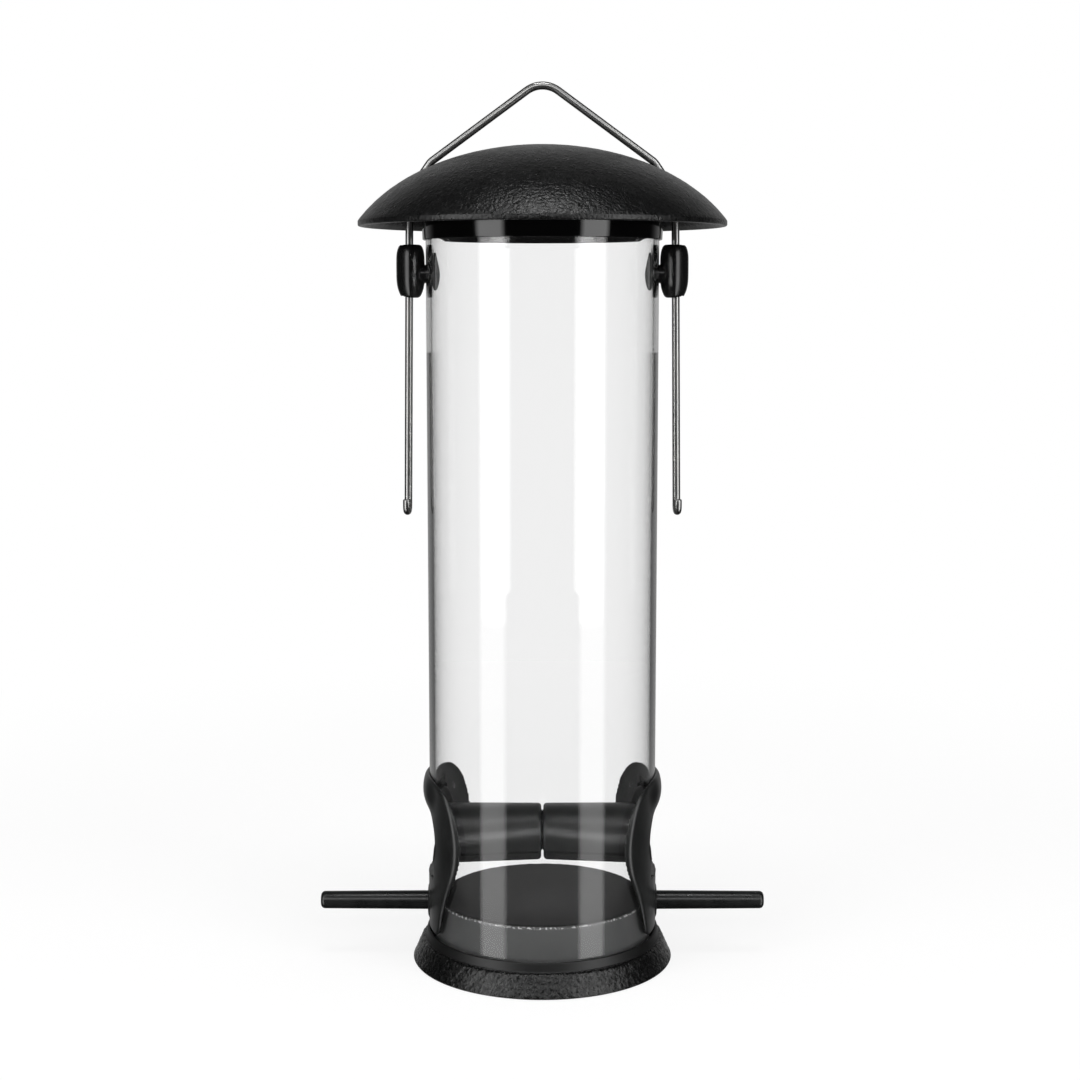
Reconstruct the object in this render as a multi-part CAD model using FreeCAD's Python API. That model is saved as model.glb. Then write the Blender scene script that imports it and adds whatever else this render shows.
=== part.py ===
"""Hanging seed feeder: a clear tube in a cast base, two feed ports with perches,
and a cast lid that slides on the legs of a wire bail.

Millimetres. +Z is up, the origin is the centre of the base's underside, and the
ports, perches and wire legs lie on the X axis."""

import FreeCAD, Part
import math
import os

V = FreeCAD.Vector

# Clear tube
TUBE_R = 32.5
TUBE_WALL = 1.6
BORE_R = TUBE_R - TUBE_WALL
TUBE_BOTTOM = 4.2
TUBE_TOP = 211.3

# Base casting: a foot ring and a plug that stands inside the tube
FOOT_R = 37.8
SHOULDER_R = 34.8
SHOULDER_Z = 6.7
COVE_R = 33.9
COVE_Z = 6.2
RIM_R = 33.4
RIM_Z = 9.0
GROOVE_R = 32.7
PLUG_TOP_R = 29.6
PLUG_FOOT_R = 30.5
PLUG_Z = 18.2
CAST_WALL = 2.6
FOOT_RECESS = 2.2
HOLLOW_FOOT_R = 27.0
HOLLOW_TOP_R = 26.0
SCREW_BOSS_R = 3.6
SCREW_BOSS_END = 27.5
SCREW_BOSS_LENGTH = 10.0
SCREW_BOSS_DROP = 1.2

# Lid: a domed casting and the plastic cap under it
DOME_R = 51.2
DOME_TOP = 232.0
DOME_A = 57.0
DOME_B = 37.3
DOME_WALL = 2.2
DOME_BORE_R = 49.6
DOME_RIM_Z = 209.6
DOME_EDGE = 0.6
DOME_STEPS = 12
CAP_R = 33.7
CAP_WALL = 0.9
CAP_DRAFT = 0.35
CAP_PLATE = 1.8
CAP_BOTTOM = 205.2
LID_GAP = 0.3
LID_SCREWS = 3
LID_SCREW_CIRCLE = 19.0
LID_BOSS_R = 3.8
SCREW_R = 1.5
SCREW_HEAD_R = 2.9
SCREW_HEAD = 1.9
SCREW_HEAD_ROUND = 0.7
SCREW_CROSS = 0.8
SCREW_REACH = 7.0
SLOT_IN = 29.5
SLOT_OUT = 39.9
SLOT_WIDTH = 3.4

# Wire bail
WIRE_R = 1.1
BAIL_APEX_Z = 249.83
BAIL_APEX_BEND = 7.5
BAIL_SHOULDER = (31.0, 227.3)
SHOULDER_BEND = 4.5
LEG_TOP = (36.9, 218.8)
LEG_TOP_BEND = 5.0
LEG_FOOT = (38.0, 130.2)
HOOK_R = 1.5
HOOK_SPLAY = 0.2
HOOK_TIP_Z = 133.7

# Wire guides
GUIDE_X = 36.8
GUIDE_R = 4.05
GUIDE_LOW = 190.0
GUIDE_HIGH = 204.7
GUIDE_TOP_R = 2.9
GUIDE_FOOT_R = 2.6
GUIDE_TAPER = 3.2
GUIDE_HOLE_X = 37.5
GUIDE_HOLE_R = 1.75
NECK_R = 2.5
NECK_Z = 196.6
PAD_HALF = 5.8
PAD_FOOT_HALF = 4.8
PAD_LOW = 192.0
PAD_WIDE_Z = 196.0
PAD_HIGH = 202.6
PAD_THICK = 1.0
PAD_ROUND = 1.6

# Feed ports
PORT_FACE_X = 32.85
PORT_FACE_R = 37.5
PORT_LOW = 9.8
PORT_HIGH = 54.3
SHIELD = [(19.7, PORT_HIGH), (25.0, 35.5), (17.2, 19.0), (14.8, PORT_LOW)]
SHIELD_ROUND = [12.0, 24.0, 20.0, 3.0]
FEED_HALF = 12.3
FEED_TALL = 10.1
FEED_Z = 36.6
THROAT_HALF = 13.2
THROAT_LOW = 25.2
THROAT_HIGH = 48.6
THROAT_ROUND = 8.0
THROAT_DEPTH = 1.0
HOOD = (2.75, 10.5, 5.5)
HOOD_CENTRE = (31.6, 0.0, 50.3)
TUNNEL_WALL = 1.6
TUNNEL_TOP = 44.9
TUNNEL_LOW = 30.9
TUNNEL_HALF_IN = 9.0
TUNNEL_HALF_OUT = 12.9
TUNNEL_GAP = 0.3
TONGUE = (33.6, 41.6)
LAP_REACH = 2.0
LAP_THICK = 0.8
BOSS_R = 4.6
BOSS_X = 33.1

# Perches
PERCH_Z = 16.1
PERCH_TIP_X = 64.4
PERCH_ROOT_R = 2.7
PERCH_TIP_R = 2.5
PERCH_ROUND = 1.2
PERCH_SEAT_X = 32.6
SHANK_R = 1.5
SHANK_END_X = 21.5

FIT = 0.1
NEARLY = 0.01
CORE_X = 15.0
BEYOND = 60.0
X_AXIS = V(1, 0, 0)
Z_AXIS = V(0, 0, 1)
SIDES = {"right": 0, "left": 180}


def rounded(points, radii, closed=True):
    """A wire of straight runs joined by tangent arcs, one radius per corner."""
    count = len(points)
    starts, ends, edges = [], [], []
    for i, corner in enumerate(points):
        radius = radii[i]
        if radius == 0 or (not closed and i in (0, count - 1)):
            starts.append(corner)
            ends.append(corner)
            continue
        back = (points[i - 1] - corner).normalize()
        ahead = (points[(i + 1) % count] - corner).normalize()
        half = back.getAngle(ahead) / 2
        middle = (back + ahead).normalize()
        start = corner + back * (radius / math.tan(half))
        end = corner + ahead * (radius / math.tan(half))
        mid = corner + middle * (radius / math.sin(half) - radius)
        starts.append(start)
        ends.append(end)
        edges.append((i, Part.Arc(start, mid, end).toShape()))
    arcs = dict(edges)
    path = []
    for i in range(count):
        if i in arcs:
            path.append(arcs[i])
        after = (i + 1) % count
        if after == 0 and not closed:
            break
        if ends[i].distanceToPoint(starts[after]) > 1e-6:
            path.append(Part.LineSegment(ends[i], starts[after]).toShape())
    return Part.Wire(path)


def turned(points, radii):
    """A solid of revolution about Z from (radius, height) corners."""
    corners = [V(r, 0, z) for r, z in points]
    return Part.Face(rounded(corners, radii)).revolve(V(0, 0, 0), Z_AXIS, 360)


def rod(radius, start, end, y=0.0, z=0.0):
    """A cylinder along X."""
    return Part.makeCylinder(radius, end - start, V(start, y, z), X_AXIS)


def post(radius, low, high, x=0.0, y=0.0):
    """A cylinder along Z."""
    return Part.makeCylinder(radius, high - low, V(x, y, low), Z_AXIS)


def prism(points, radii, start, end):
    """A rounded (y, z) outline drawn out along X."""
    wire = rounded([V(start, y, z) for y, z in points], radii)
    return Part.Face(wire).extrude(V(end - start, 0, 0))


def box_outline(half, low, high):
    return [(-half, low), (half, low), (half, high), (-half, high)]


def on_side(shape, side):
    """A copy of a +X shape, turned to the named side."""
    copy = shape.copy()
    copy.rotate(V(0, 0, 0), Z_AXIS, SIDES[side])
    return copy


def both_sides(shape):
    return on_side(shape, "right").fuse(on_side(shape, "left"))


def make_tube():
    tube = post(TUBE_R, TUBE_BOTTOM, TUBE_TOP).cut(post(BORE_R, TUBE_BOTTOM, TUBE_TOP))
    throat = prism(
        box_outline(THROAT_HALF + FIT, THROAT_LOW - FIT, THROAT_HIGH + FIT),
        [THROAT_ROUND] * 4, CORE_X, BEYOND)
    neck = rod(NECK_R + FIT, CORE_X, BEYOND, z=NECK_Z)
    shank = rod(SHANK_R + 2 * FIT, CORE_X, BEYOND, z=PERCH_Z)
    return tube.cut(both_sides(throat)).cut(both_sides(neck)).cut(both_sides(shank))


def make_base():
    """The foot ring, the groove that holds the tube, and the hollow plug."""
    body = turned(
        [(0, 0), (FOOT_R, 0), (SHOULDER_R, SHOULDER_Z), (COVE_R, COVE_Z), (RIM_R, RIM_Z),
         (GROOVE_R, RIM_Z), (GROOVE_R, TUBE_BOTTOM), (BORE_R - FIT, TUBE_BOTTOM),
         (PLUG_FOOT_R, RIM_Z), (PLUG_TOP_R, PLUG_Z), (0, PLUG_Z)],
        [0, 0.5, 0.4, 0.8, 0.2, 0.2, 0, 0, 0, 0.6, 0])
    under = turned(
        [(0, 0), (FOOT_R - CAST_WALL, 0), (SHOULDER_R - CAST_WALL, FOOT_RECESS),
         (HOLLOW_FOOT_R, FOOT_RECESS), (HOLLOW_TOP_R, PLUG_Z - CAST_WALL),
         (0, PLUG_Z - CAST_WALL)],
        [0, 0, 0.8, 1.0, 2.0, 0])
    boss = rod(SCREW_BOSS_R, SCREW_BOSS_END - SCREW_BOSS_LENGTH, SCREW_BOSS_END,
               z=PERCH_Z - SCREW_BOSS_DROP)
    roof = post(PLUG_TOP_R - 1, 0, PLUG_Z - 1)
    hole = rod(SHANK_R + FIT / 2, SHANK_END_X - 1, TUBE_R, z=PERCH_Z)
    return body.cut(under).fuse(both_sides(boss).common(roof)).cut(both_sides(hole))


def under_dome(offset, edge_r, low):
    """The space under the dome's ellipse, set in by an offset, down to a height."""
    a = DOME_A - offset
    b = DOME_B - offset
    centre = DOME_TOP - DOME_B
    last = math.asin(edge_r / a)
    turns = [last * i / DOME_STEPS for i in range(DOME_STEPS + 1)]
    curve = Part.BSplineCurve()
    curve.interpolate([V(a * math.sin(t), 0, centre + b * math.cos(t)) for t in turns])
    top, rim = curve.StartPoint, curve.EndPoint
    corners = [rim, V(rim.x, 0, low), V(0, 0, low), top]
    edges = [curve.toShape()]
    edges += [Part.LineSegment(p, q).toShape() for p, q in zip(corners, corners[1:])]
    return Part.Face(Part.Wire(edges)).revolve(V(0, 0, 0), Z_AXIS, 360)


def make_dome():
    """The lid casting: a thin dome, three screw bosses and a slot for each wire leg."""
    solid = under_dome(0, DOME_R, DOME_RIM_Z)
    edge = [e for e in solid.Edges if e.BoundBox.XMax > DOME_R - FIT and e.BoundBox.ZLength < FIT]
    solid = solid.makeFillet(DOME_EDGE, edge)
    dome = solid.cut(under_dome(DOME_WALL, DOME_BORE_R, DOME_RIM_Z - 1))
    seat = TUBE_TOP + LID_GAP + CAP_PLATE
    for x, y in lid_screw_places():
        boss = post(LID_BOSS_R, seat, DOME_TOP, x, y).common(solid)
        pilot = post(SCREW_R + FIT / 2, seat, seat + SCREW_REACH + 0.5, x, y)
        dome = dome.fuse(boss).cut(pilot)
    half = SLOT_WIDTH / 2
    corners = [V(SLOT_IN, -half, 0), V(SLOT_OUT, -half, 0),
               V(SLOT_OUT, half, 0), V(SLOT_IN, half, 0)]
    slot = Part.Face(rounded(corners, [half - NEARLY] * 4)).extrude(V(0, 0, DOME_TOP))
    return dome.cut(both_sides(slot))


def lid_screw_places():
    for i in range(LID_SCREWS):
        angle = math.radians(90 + 360 * i / LID_SCREWS)
        yield LID_SCREW_CIRCLE * math.cos(angle), LID_SCREW_CIRCLE * math.sin(angle)


def make_cap():
    """The plastic cap that closes the tube and centres the lid on it."""
    under = TUBE_TOP + LID_GAP
    bore = CAP_R - CAP_WALL
    cap = turned(
        [(0, under), (bore, under), (bore, CAP_BOTTOM), (CAP_R - CAP_DRAFT, CAP_BOTTOM),
         (CAP_R, under + CAP_PLATE), (0, under + CAP_PLATE)],
        [0, 0, 0, 0.3, 0.6, 0])
    for x, y in lid_screw_places():
        cap = cap.cut(post(SCREW_R + 2 * FIT, under, under + CAP_PLATE, x, y))
    return cap


def make_lid_screws():
    """Pan-head screws that hold the cap to the bosses under the dome."""
    under = TUBE_TOP + LID_GAP
    screws = []
    for x, y in lid_screw_places():
        shank = post(SCREW_R, under - FIT, under + CAP_PLATE + SCREW_REACH, x, y)
        head = post(SCREW_HEAD_R, under - SCREW_HEAD, under, x, y)
        rim = [e for e in head.Edges if e.BoundBox.ZMax < under - SCREW_HEAD + FIT]
        head = head.makeFillet(SCREW_HEAD_ROUND, rim)
        arm, half = SCREW_HEAD_R, SCREW_CROSS / 2
        corner = V(x, y, under - SCREW_HEAD)
        cross = Part.makeBox(2 * arm, 2 * half, 2 * half, corner - V(arm, half, 0)).fuse(
            Part.makeBox(2 * half, 2 * arm, 2 * half, corner - V(half, arm, 0)))
        core = post(SCREW_HEAD_R - SCREW_CROSS, 0, TUBE_TOP, x, y)
        screws.append(head.cut(cross.common(core)).fuse(shank))
    return Part.makeCompound(screws)


def bail_path():
    """Centre line of the wire, from one hook over the top to the other."""
    foot_x, foot_z = LEG_FOOT
    half = [
        (V(0, 0, BAIL_APEX_Z), BAIL_APEX_BEND),
        (V(BAIL_SHOULDER[0], 0, BAIL_SHOULDER[1]), SHOULDER_BEND),
        (V(LEG_TOP[0], 0, LEG_TOP[1]), LEG_TOP_BEND),
        (V(foot_x, 0, foot_z), HOOK_R - NEARLY),
        (V(foot_x + HOOK_SPLAY, -2 * HOOK_R, foot_z), HOOK_R - NEARLY),
        (V(foot_x + HOOK_SPLAY, -2 * HOOK_R, HOOK_TIP_Z), 0),
    ]
    left = [(V(-p.x, p.y, p.z), r) for p, r in reversed(half[1:])]
    whole = left + half
    return rounded([p for p, r in whole], [r for p, r in whole], closed=False)


def make_bail():
    path = bail_path()
    first = path.OrderedEdges[0]
    start = first.Vertexes[0].Point
    direction = first.tangentAt(first.FirstParameter)
    ring = Part.Wire(Part.Circle(start, direction, WIRE_R).toShape())
    return path.makePipeShell([ring], True, False)


def make_guide():
    """The bead that a wire leg runs through, with its neck through the tube wall."""
    bead = turned(
        [(0, GUIDE_LOW), (GUIDE_FOOT_R, GUIDE_LOW), (GUIDE_R, GUIDE_LOW + GUIDE_TAPER),
         (GUIDE_R, GUIDE_HIGH - GUIDE_TAPER), (GUIDE_TOP_R, GUIDE_HIGH), (0, GUIDE_HIGH)],
        [0, 0.4, 3.0, 3.0, 0.4, 0])
    bead.translate(V(GUIDE_X, 0, 0))
    neck = rod(NECK_R, BORE_R - PAD_THICK, GUIDE_X, z=NECK_Z)
    clear = post(TUBE_R + FIT, GUIDE_LOW - 1, GUIDE_HIGH + 1)
    hole = post(GUIDE_HOLE_R, GUIDE_LOW - 1, GUIDE_HIGH + 1, GUIDE_HOLE_X)
    return bead.cut(clear).fuse(neck).cut(hole)


def make_pad():
    """The teardrop retainer that clips to a guide's neck inside the tube."""
    outer = BORE_R - FIT
    outline = [(0, PAD_HIGH), (PAD_HALF, PAD_WIDE_Z), (PAD_FOOT_HALF, PAD_LOW),
               (-PAD_FOOT_HALF, PAD_LOW), (-PAD_HALF, PAD_WIDE_Z)]
    blank = prism(outline, [PAD_ROUND / 2] + [PAD_ROUND] * 4, 0, TUBE_R)
    shell = post(outer, PAD_LOW - 1, PAD_HIGH + 1).cut(
        post(outer - PAD_THICK, PAD_LOW - 1, PAD_HIGH + 1))
    return blank.common(shell).cut(rod(NECK_R + FIT / 2, CORE_X, TUBE_R, z=NECK_Z))


def arch(x, half, shrink=0.0, low=TUNNEL_LOW):
    """An inverted U across the tube at distance x from its centre."""
    width = half - shrink
    top = TUNNEL_TOP - shrink
    points = [V(x, -width, low), V(x, width, low), V(x, width, top), V(x, -width, top)]
    return rounded(points, [0, 0, width - 0.3, width - 0.3])


def make_tunnel():
    """The hood over the seed that leads from a port to the middle of the tube."""
    outside = Part.makeLoft([arch(0, TUNNEL_HALF_IN), arch(BORE_R, TUNNEL_HALF_OUT)],
                            True, True)
    inside = Part.makeLoft(
        [arch(-1, TUNNEL_HALF_IN, TUNNEL_WALL, TUNNEL_LOW - 1),
         arch(BORE_R + 1, TUNNEL_HALF_OUT, TUNNEL_WALL, TUNNEL_LOW - 1)], True, True)
    wide = 2 * TUNNEL_HALF_OUT
    tongue_low, tongue_high = TONGUE
    notch = Part.makeBox(TUNNEL_GAP, wide, TUNNEL_TOP, V(0, -wide / 2, 0)).cut(
        Part.makeBox(TUNNEL_GAP, wide, tongue_high - tongue_low, V(0, -wide / 2, tongue_low)))
    middle = Part.makeBox(FIT / 2, wide, TUNNEL_TOP, V(0, -wide / 2, 0))
    return outside.cut(inside).cut(notch.fuse(middle)), inside


def make_lap():
    """A thin tongue inside the -Y wall that bridges the joint to the opposite tunnel."""
    low, high = TONGUE
    half = TUNNEL_HALF_IN
    flare = (TUNNEL_HALF_OUT - TUNNEL_HALF_IN) / BORE_R
    root = half + flare * LAP_REACH
    skin = TUNNEL_WALL + FIT
    core = TUNNEL_WALL + LAP_THICK
    ahead = Part.Face(arch(-LAP_REACH, half, skin)).extrude(V(LAP_REACH, 0, 0))
    behind = Part.makeLoft([arch(0, half, TUNNEL_WALL / 2),
                            arch(LAP_REACH, root, TUNNEL_WALL / 2)], True, True)
    hollow = Part.Face(arch(-LAP_REACH, half, core)).extrude(V(2 * LAP_REACH, 0, 0))
    window = Part.makeBox(2 * LAP_REACH, half + 1, high - low,
                          V(-LAP_REACH, -half - 1, low))
    behind = behind.cut(Part.makeBox(FIT, 2 * half, high, V(0, -half, 0)).cut(
        Part.Face(arch(0, half, skin)).extrude(V(FIT, 0, 0))))
    return ahead.fuse(behind).cut(hollow).common(window)


def make_port():
    """A shield hugging the tube, a hooded feed opening, a throat and the tunnel."""
    outline = SHIELD + [(-y, z) for y, z in reversed(SHIELD)]
    shield = prism(outline, SHIELD_ROUND + SHIELD_ROUND[::-1], CORE_X, BEYOND)
    face = post(PORT_FACE_R, 0, BEYOND, PORT_FACE_X - PORT_FACE_R)
    flange = shield.common(face)
    ball = Part.makeSphere(1.0)
    stretch = FreeCAD.Matrix(HOOD[0], 0, 0, HOOD_CENTRE[0], 0, HOOD[1], 0, HOOD_CENTRE[1],
                             0, 0, HOOD[2], HOOD_CENTRE[2], 0, 0, 0, 1)
    hood = ball.transformGeometry(stretch).common(post(BEYOND, 0, PORT_HIGH))
    boss = rod(BOSS_R, CORE_X, BOSS_X, z=PERCH_Z)
    outside = flange.fuse(hood).fuse(boss).cut(post(TUBE_R + FIT / 2, 0, BEYOND))
    throat = prism(box_outline(THROAT_HALF, THROAT_LOW, THROAT_HIGH), [THROAT_ROUND] * 4,
                   CORE_X, BEYOND)
    throat = throat.common(face).cut(post(BORE_R - THROAT_DEPTH, 0, BEYOND))
    tunnel, tunnel_space = make_tunnel()
    start = BORE_R - THROAT_DEPTH / 2
    ellipse = Part.Ellipse(V(start, FEED_HALF, FEED_Z), V(start, 0, FEED_Z + FEED_TALL),
                           V(start, 0, FEED_Z))
    feed = Part.Face(Part.Wire(ellipse.toShape())).extrude(V(BEYOND, 0, 0))
    seat = rod(PERCH_ROOT_R + FIT, PERCH_SEAT_X, BEYOND, z=PERCH_Z)
    shank = rod(SHANK_R + FIT, CORE_X, BEYOND, z=PERCH_Z)
    port = outside.fuse(throat).fuse(tunnel.common(post(BORE_R, 0, BEYOND)))
    return port.cut(feed).cut(tunnel_space).fuse(make_lap()).cut(seat).cut(shank)


def make_perch():
    """A tapered rod with a rounded tip and a thinner threaded end."""
    corners = [V(SHANK_END_X, 0, 0), V(PERCH_TIP_X, 0, 0), V(PERCH_TIP_X, PERCH_TIP_R, 0),
               V(PERCH_SEAT_X, PERCH_ROOT_R, 0), V(PERCH_SEAT_X, SHANK_R, 0),
               V(SHANK_END_X, SHANK_R, 0)]
    face = Part.Face(rounded(corners, [0, 0, PERCH_ROUND, 0, 0, 0.4]))
    perch = face.revolve(V(0, 0, 0), X_AXIS, 360)
    perch.translate(V(0, 0, PERCH_Z))
    return perch


def make_all():
    nodes = {
        "tube": make_tube(),
        "base_casting": make_base(),
        "lid_dome": make_dome(),
        "lid_cap": make_cap(),
        "lid_screws": make_lid_screws(),
        "wire_bail": make_bail(),
    }
    paired = {"wire_guide": make_guide(), "guide_retainer": make_pad(),
              "feed_port": make_port(), "perch": make_perch()}
    for name, shape in paired.items():
        for side in SIDES:
            nodes[f"{name}_{side}"] = on_side(shape, side)
    return nodes


os.makedirs("parts", exist_ok=True)
for name, shape in make_all().items():
    print(name, shape.isValid(), len(shape.Solids), round(shape.Volume, 1))
    shape.exportStep(f"parts/{name}.step")
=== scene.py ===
"""Looks for the hanging seed feeder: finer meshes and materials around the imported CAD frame."""
import math
import bmesh
import bpy
import numpy as np
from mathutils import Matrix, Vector, noise


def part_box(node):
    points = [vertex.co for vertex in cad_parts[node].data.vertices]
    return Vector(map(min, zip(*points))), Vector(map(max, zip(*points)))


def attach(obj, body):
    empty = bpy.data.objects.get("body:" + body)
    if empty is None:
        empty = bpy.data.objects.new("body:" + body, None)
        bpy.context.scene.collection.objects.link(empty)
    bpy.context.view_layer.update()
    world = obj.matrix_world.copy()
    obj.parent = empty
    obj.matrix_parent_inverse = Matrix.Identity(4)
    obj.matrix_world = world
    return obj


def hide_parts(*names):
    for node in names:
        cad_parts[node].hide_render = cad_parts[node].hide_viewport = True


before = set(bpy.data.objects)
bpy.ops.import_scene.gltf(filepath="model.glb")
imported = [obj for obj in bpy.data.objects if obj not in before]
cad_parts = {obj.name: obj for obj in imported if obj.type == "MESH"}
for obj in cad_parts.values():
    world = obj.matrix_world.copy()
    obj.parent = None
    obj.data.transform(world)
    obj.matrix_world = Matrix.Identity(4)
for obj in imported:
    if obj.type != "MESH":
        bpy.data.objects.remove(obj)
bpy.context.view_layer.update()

MM = 0.001
SIDES = {"right": 0.0, "left": math.pi}

# ------------------------------------------------------------------ sizes, in millimetres


def box_mm(node):
    """Lowest and highest corner of a CAD node, in millimetres."""
    low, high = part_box(node)
    return Vector(low) / MM, Vector(high) / MM


TUBE_LOW, TUBE_HIGH = box_mm("tube")
TUBE_R = TUBE_HIGH.x
TUBE_WALL = 1.6
TUBE_IN = TUBE_R - TUBE_WALL
BASE_HIGH = box_mm("base_casting")[1]
FOOT_R = BASE_HIGH.x
PLUG_Z = BASE_HIGH.z
DOME_LOW, DOME_HIGH = box_mm("lid_dome")
DOME_R = DOME_HIGH.x
CAP_LOW, CAP_HIGH = box_mm("lid_cap")
CAP_R = CAP_HIGH.x
PERCH_LOW, PERCH_HIGH = box_mm("perch_right")
PERCH_Z = (PERCH_LOW.z + PERCH_HIGH.z) / 2
PERCH_R = (PERCH_HIGH.z - PERCH_LOW.z) / 2
PORT_LOW, PORT_HIGH = box_mm("feed_port_right")
GUIDE_LOW, GUIDE_HIGH = box_mm("wire_guide_right")

THROAT_HALF, THROAT, THROAT_ROUND = 13.3, (25.1, 48.7), 8.0
NECK_R, NECK_Z, SHANK_R = 2.5, 196.6, 1.5
PLUG_TOP_R, PLUG_FOOT_R, RIM_Z, RIM_R = 29.6, 30.5, 9.0, 33.4
SHOULDER_R, SHOULDER_Z, COVE_R, COVE_Z, CAST_WALL = 34.8, 6.7, 33.9, 6.2, 2.6
FOOT_EDGE_Z, FOOT_CHAMFER, FOOT_RECESS = 0.3, 0.2, 2.2
HOLLOW_FOOT_R, HOLLOW_TOP_R = 27.0, 26.0
BASE_BOSS_R, BASE_BOSS_DROP, BASE_BOSS, BASE_HOLE = 3.6, 1.8, (17.5, 27.2), (20.5, 34.0)
DOME_A, DOME_B, DOME_WALL, DOME_BORE_R = 57.0, 37.3, 2.2, 49.6
SLOT_IN, SLOT_OUT, SLOT_WIDTH, SLOT_CUT = 29.5, 39.9, 3.4, (200.0, 240.0)
LID_SCREWS, LID_SCREW_CIRCLE, LID_BOSS_R, LID_PILOT = 3, 19.0, 3.8, 7.5
CAP_PLATE, CAP_WALL, DRAFT, CAP_TRIM = 1.8, 0.9, 0.35, 0.7
WIRE_R, BAIL_APEX, APEX_BEND = 1.1, (0.0, 249.8), 7.5
SHOULDER, SHOULDER_BEND, LEG_TOP, LEG_TOP_BEND = (31.0, 227.3), 4.5, (36.9, 218.8), 5.0
LEG_FOOT, HOOK_SPLAY, HOOK_R, HOOK_TIP_Z = (38.0, 130.2), 0.2, 1.5, 133.7
GUIDE_X, GUIDE_R, GUIDE_HOLE_X, GUIDE_HOLE_R = 36.8, 4.05, 37.5, 1.75
PAD_HALF, PAD_LOW, PAD_HIGH, PAD_THICK, PAD_BELLY = 5.8, 192.0, 202.6, 1.0, 4.6
PAD_ROOM = Vector((26, -10, 190)), Vector((32, 10, 204))
SHIELD_TOP, SHIELD_WIDE = (19.7, 54.3), (25.0, 35.5)
SHIELD_KNEE, SHIELD_FOOT = (17.2, 19.0), (14.8, 9.8)
FACE_X, FACE_R, BOSS_R, BOSS_X = 32.85, 37.5, 4.6, 33.1
HOOD_AT, HOOD_SIZE = (31.6, 0.0, 50.3), (2.75, 10.5, 5.5)
FEED_HALF, FEED_TALL, FEED_Z = 12.3, 10.1, 36.6
TUNNEL_IN, TUNNEL_OUT, TUNNEL_TOP, TUNNEL_LOW, TUNNEL_WALL = 9.0, 12.9, 44.9, 30.9, 1.6
TUNNEL_GAP, TONGUE, LEDGE, LEDGE_HEIGHT = 0.3, (33.6, 41.6), 0.35, 2.5
PERCH_SEAT_X, PERCH_TIP_R, PERCH_ROUND = 32.6, 2.5, 1.2

# ------------------------------------------------------------------ mesh helpers


def rounded(corners, radii, steps=6, closed=False):
    """Points of straight runs joined by tangent arcs; corners may be 2-D or 3-D."""
    corners = [Vector(c) for c in corners]
    count = len(corners)
    path = []
    for i, corner in enumerate(corners):
        radius = radii[i]
        if radius == 0 or (not closed and i in (0, count - 1)):
            path.append(corner)
            continue
        back = (corners[i - 1] - corner).normalized()
        ahead = (corners[(i + 1) % count] - corner).normalized()
        half = back.angle(ahead) / 2
        centre = corner + (back + ahead).normalized() * (radius / math.sin(half))
        start = corner + back * (radius / math.tan(half)) - centre
        end = corner + ahead * (radius / math.tan(half)) - centre
        sweep = start.angle(end)
        for k in range(steps + 1):
            t = k / steps
            mixed = start * math.sin((1 - t) * sweep) + end * math.sin(t * sweep)
            path.append(centre + mixed / math.sin(sweep))
    return path


def refined(points, pitch):
    """The same polyline with its long runs divided, so that no step is longer than pitch."""
    fine = [points[0]]
    for a, b in zip(points, points[1:]):
        cuts = max(1, math.ceil((b - a).length / pitch))
        fine += [a.lerp(b, k / cuts) for k in range(1, cuts + 1)]
    return fine


def linked(name, data):
    """A new object for a mesh, lamp or camera, linked to the scene."""
    thing = bpy.data.objects.new(name, data)
    bpy.context.scene.collection.objects.link(thing)
    return thing


def mesh_object(name, verts, faces, merge=0.0):
    """A mesh object from millimetres, its normals outwards and its double points merged."""
    mesh = bpy.data.meshes.new(name)
    mesh.from_pydata([tuple(v) for v in np.asarray(verts) * MM], [], faces)
    work = bmesh.new()
    work.from_mesh(mesh)
    if merge:
        bmesh.ops.remove_doubles(work, verts=work.verts, dist=merge * MM)
    bmesh.ops.recalc_face_normals(work, faces=work.faces)
    work.to_mesh(mesh)
    work.free()
    return linked(name, mesh)


def make_piece(name, verts, faces, body, material, replaces=(), merge=0.0):
    """A closed mesh piece, given in millimetres, that rides on a CAD body."""
    piece = mesh_object(name, verts, faces, merge)
    piece.data.shade_smooth()
    piece.data.materials.append(material)
    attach(piece, body)
    if replaces:
        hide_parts(*replaces)
    return piece


def lathe(profile, segments, closed):
    """Vertices and quads of a profile of (radius, height) turned about Z."""
    rows = np.array([(p[0], p[1]) for p in profile])
    angles = np.arange(segments) * 2 * math.pi / segments
    x = rows[:, None, 0] * np.cos(angles)
    y = rows[:, None, 0] * np.sin(angles)
    z = np.repeat(rows[:, 1:2], segments, axis=1)
    verts = np.stack([x, y, z], axis=-1).reshape(-1, 3)
    faces = []
    count = len(rows)
    for i in range(count if closed else count - 1):
        a, b = i * segments, (i + 1) % count * segments
        for k in range(segments):
            m = (k + 1) % segments
            faces.append((a + k, a + m, b + m, b + k))
    return verts, faces


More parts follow.
